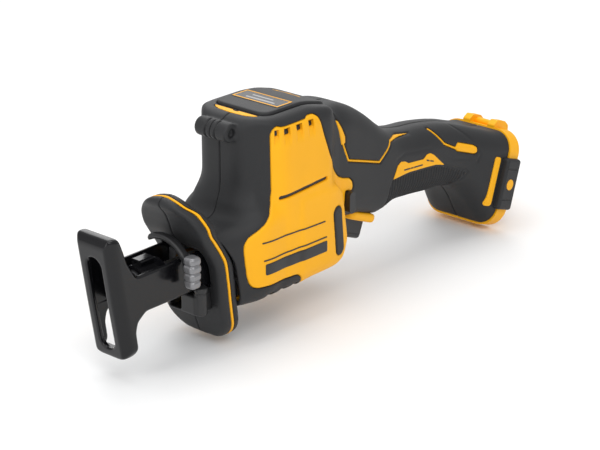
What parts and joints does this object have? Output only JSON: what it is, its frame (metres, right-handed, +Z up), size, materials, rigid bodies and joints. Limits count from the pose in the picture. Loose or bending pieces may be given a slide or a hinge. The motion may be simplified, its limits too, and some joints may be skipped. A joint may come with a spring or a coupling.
{
  "type": "cordless reciprocating saw",
  "caption": "Compact one-handed cordless reciprocating saw without battery: tall motor body, leaning guard, slotted steel shoe, overmoulded grip and battery foot.",
  "frame": {"origin": "mouth of the blade socket on the stroke axis, with the plunger at mid stroke", "axes": "+X runs back along the stroke from the shoe to the battery foot, +Z up towards the motor cap, -Y is the side with the release lever"},
  "size_m": [0.3201, 0.058, 0.1176],
  "materials": {
    "yellow_nylon": "satin moulded",
    "grey_rubber": "matte textured",
    "black_plastic": "fine matte",
    "black_steel": "glossy black coating",
    "rod_steel": "ground",
    "dark_steel": "oiled",
    "lever_grey": "satin grey",
    "lens_clear": "clear",
    "cast_alloy": "cast",
    "bush_bronze": "sintered bronze",
    "winding_copper": "enamelled copper wire",
    "lamination": "stacked sheet",
    "circuit_green": "coated board",
    "contact_tin": "plated"
  },
  "bodies": {
    "housing": {"shell_left": "yellow_nylon", "shell_right": "yellow_nylon", "overmold_left": "grey_rubber", "overmold_right": "grey_rubber", "guard_left": "grey_rubber", "guard_right": "grey_rubber", "guard_stripe": "yellow_nylon", "lamp_housing": "black_plastic", "lamp_lens": "lens_clear", "shoe": "black_steel", "shoe_bolts": "dark_steel", "name_strip_left": "black_plastic", "name_strip_right": "black_plastic", "grip_badge_left": "yellow_nylon", "grip_badge_right": "yellow_nylon", "motor_cap": "grey_rubber", "cap_inlays": "yellow_nylon", "cap_label": "black_plastic", "foot_rim": "yellow_nylon", "hang_bar": "yellow_nylon", "corner_pad_left": "grey_rubber", "corner_pad_right": "grey_rubber", "foot_bumper_left": "grey_rubber", "foot_bumper_right": "grey_rubber", "bumper_plug_left": "yellow_nylon", "bumper_plug_right": "yellow_nylon", "foot_bar_left": "yellow_nylon", "foot_bar_right": "yellow_nylon", "trigger_collar": "yellow_nylon", "case_screws": "dark_steel", "gear_case": "cast_alloy", "front_bush": "bush_bronze", "rear_bush": "bush_bronze", "gear_cover": "cast_alloy", "crank_axle": "dark_steel", "motor_stator": "lamination", "stator_windings": "winding_copper", "motor_mount": "black_plastic", "lower_bearing": "dark_steel", "upper_bearing": "dark_steel", "motor_bracket": "black_plastic", "switch_module": "black_plastic", "control_board": "circuit_green", "terminal_block": "black_plastic", "battery_contacts": "contact_tin"},
    "plunger": {"plunger": "rod_steel", "clamp_body": "dark_steel", "clamp_pin": "rod_steel"},
    "clamp_sleeve": {"clamp_sleeve": "black_steel"},
    "release": {"release_ring": "black_plastic", "release_lever": "lever_grey"},
    "crank": {"crank_gear": "dark_steel", "crank_pin": "rod_steel"},
    "rotor": {"rotor": "lamination", "motor_shaft": "rod_steel", "motor_pinion": "dark_steel", "cooling_fan": "black_plastic"},
    "trigger": {"trigger": "black_plastic"},
    "lock_button": {"lock_button": "black_plastic"}
  },
  "joints": [
    {"name": "plunger_stroke", "type": "slide", "parent": "housing", "child": "plunger", "axis": [-1, 0, 0], "range_m": [-0.008, 0.008]},
    {"name": "sleeve_turn", "type": "hinge", "parent": "plunger", "child": "clamp_sleeve", "pos_m": [0, 0, 0], "axis": [-1, 0, 0], "range_deg": [0, 35]},
    {"name": "lever_turn", "type": "hinge", "parent": "housing", "child": "release", "pos_m": [0, 0, 0], "axis": [-1, 0, 0], "range_deg": [0, 35], "stiffness_Nm_per_rad": 0.02},
    {"name": "crank_turn", "type": "hinge", "parent": "housing", "child": "crank", "pos_m": [0.0755, 0, 0.009], "axis": [0, 0, 1], "continuous": true},
    {"name": "rotor_turn", "type": "hinge", "parent": "housing", "child": "rotor", "pos_m": [0.0995, 0, 0.009], "axis": [0, 0, 1], "continuous": true},
    {"name": "trigger_pull", "type": "slide", "parent": "housing", "child": "trigger", "axis": [0.3746, 0, 0.9272], "range_m": [0, 0.006], "stiffness_N_per_m": 400},
    {"name": "lock_slide", "type": "slide", "parent": "housing", "child": "lock_button", "axis": [0, 1, 0], "range_m": [-0.003, 0.003], "stiffness_N_per_m": 200}
  ],
  "couplings": [
    {"joint": "rotor_turn", "follows": "crank_turn", "ratio": -5},
    {"joint": "sleeve_turn", "follows": "lever_turn", "ratio": 1}
  ]
}
